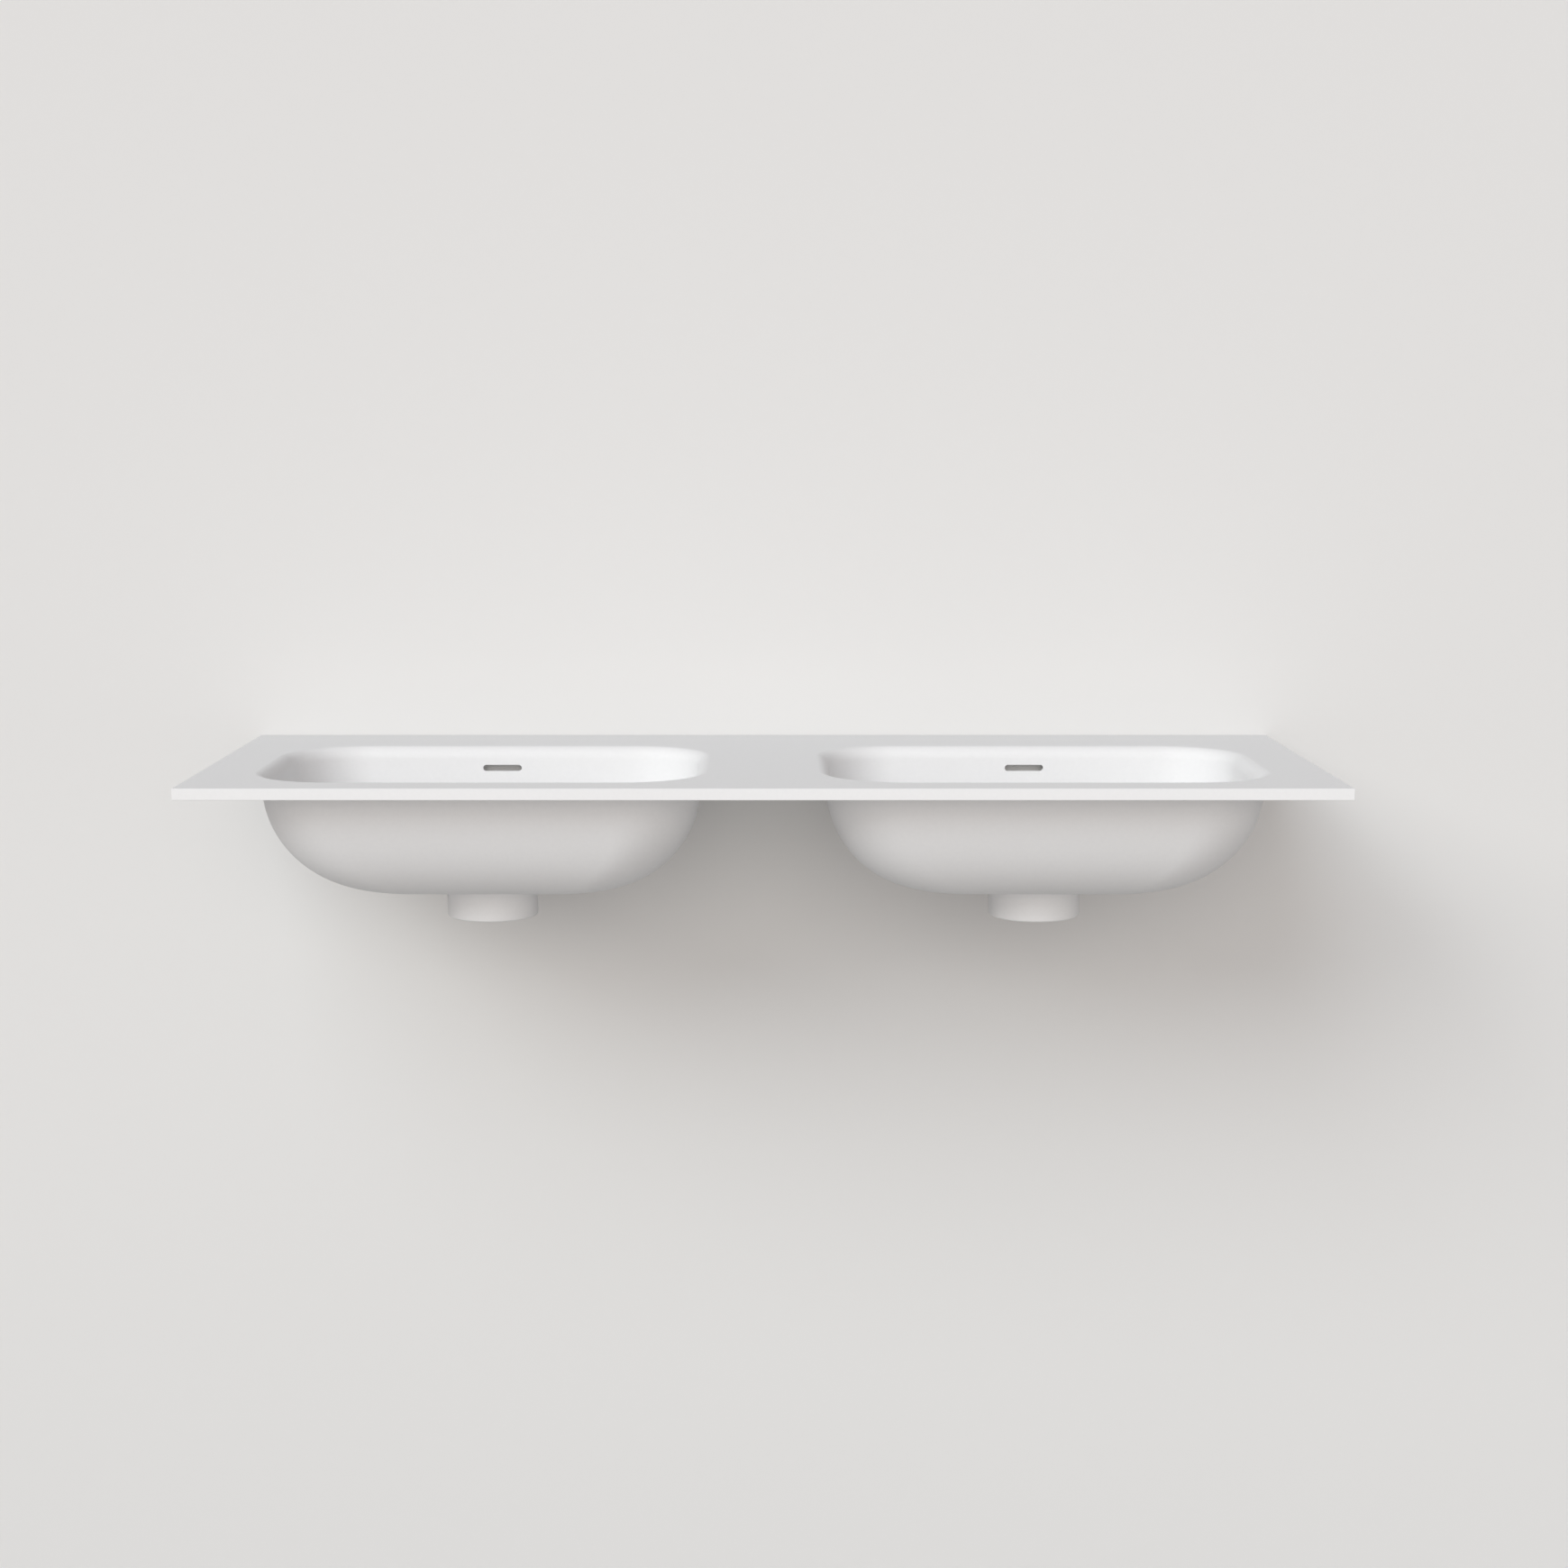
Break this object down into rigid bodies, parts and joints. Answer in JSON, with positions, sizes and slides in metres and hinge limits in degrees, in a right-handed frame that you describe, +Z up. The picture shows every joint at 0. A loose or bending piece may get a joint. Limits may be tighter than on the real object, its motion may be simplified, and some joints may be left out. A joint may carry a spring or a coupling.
{
  "type": "double sink vanity top",
  "caption": "Long thin matt white bathroom vanity top with oblong rolled-lip basins, overflow slots, drain bosses and press-to-open wastes.",
  "frame": {"origin": "middle of the slab's underside, where it sits on a cabinet", "axes": "+X to the right along the slab, +Y to the wall, +Z up"},
  "size_m": [1.2, 0.46, 0.176],
  "materials": {
    "solid_surface": "matte",
    "plug_white": "satin",
    "duct_plastic": "matte",
    "chromed_brass": "polished",
    "plain_brass": "satin",
    "seal_rubber": "matte",
    "guide_plastic": "matte",
    "stem_steel": "satin"
  },
  "bodies": {
    "top": {"top_slab": "solid_surface", "left_bowl": "solid_surface", "left_drain_boss": "solid_surface", "left_overflow_duct": "duct_plastic", "left_waste_body": "chromed_brass", "left_tailpiece": "chromed_brass", "left_flange_seal": "seal_rubber", "left_lower_seal": "seal_rubber", "left_backnut": "plain_brass", "left_cartridge": "guide_plastic", "right_bowl": "solid_surface", "right_drain_boss": "solid_surface", "right_overflow_duct": "duct_plastic", "right_waste_body": "chromed_brass", "right_tailpiece": "chromed_brass", "right_flange_seal": "seal_rubber", "right_lower_seal": "seal_rubber", "right_backnut": "plain_brass", "right_cartridge": "guide_plastic"},
    "left_plug": {"left_plug_stem": "stem_steel", "left_plug_cap": "plug_white", "left_plug_seal": "seal_rubber"},
    "right_plug": {"right_plug_stem": "stem_steel", "right_plug_cap": "plug_white", "right_plug_seal": "seal_rubber"}
  },
  "joints": [
    {"name": "left_plug_lift", "type": "slide", "parent": "top", "child": "left_plug", "axis": [0, 0, 1], "range_m": [0, 0.009]},
    {"name": "right_plug_lift", "type": "slide", "parent": "top", "child": "right_plug", "axis": [0, 0, 1], "range_m": [0, 0.009]}
  ]
}
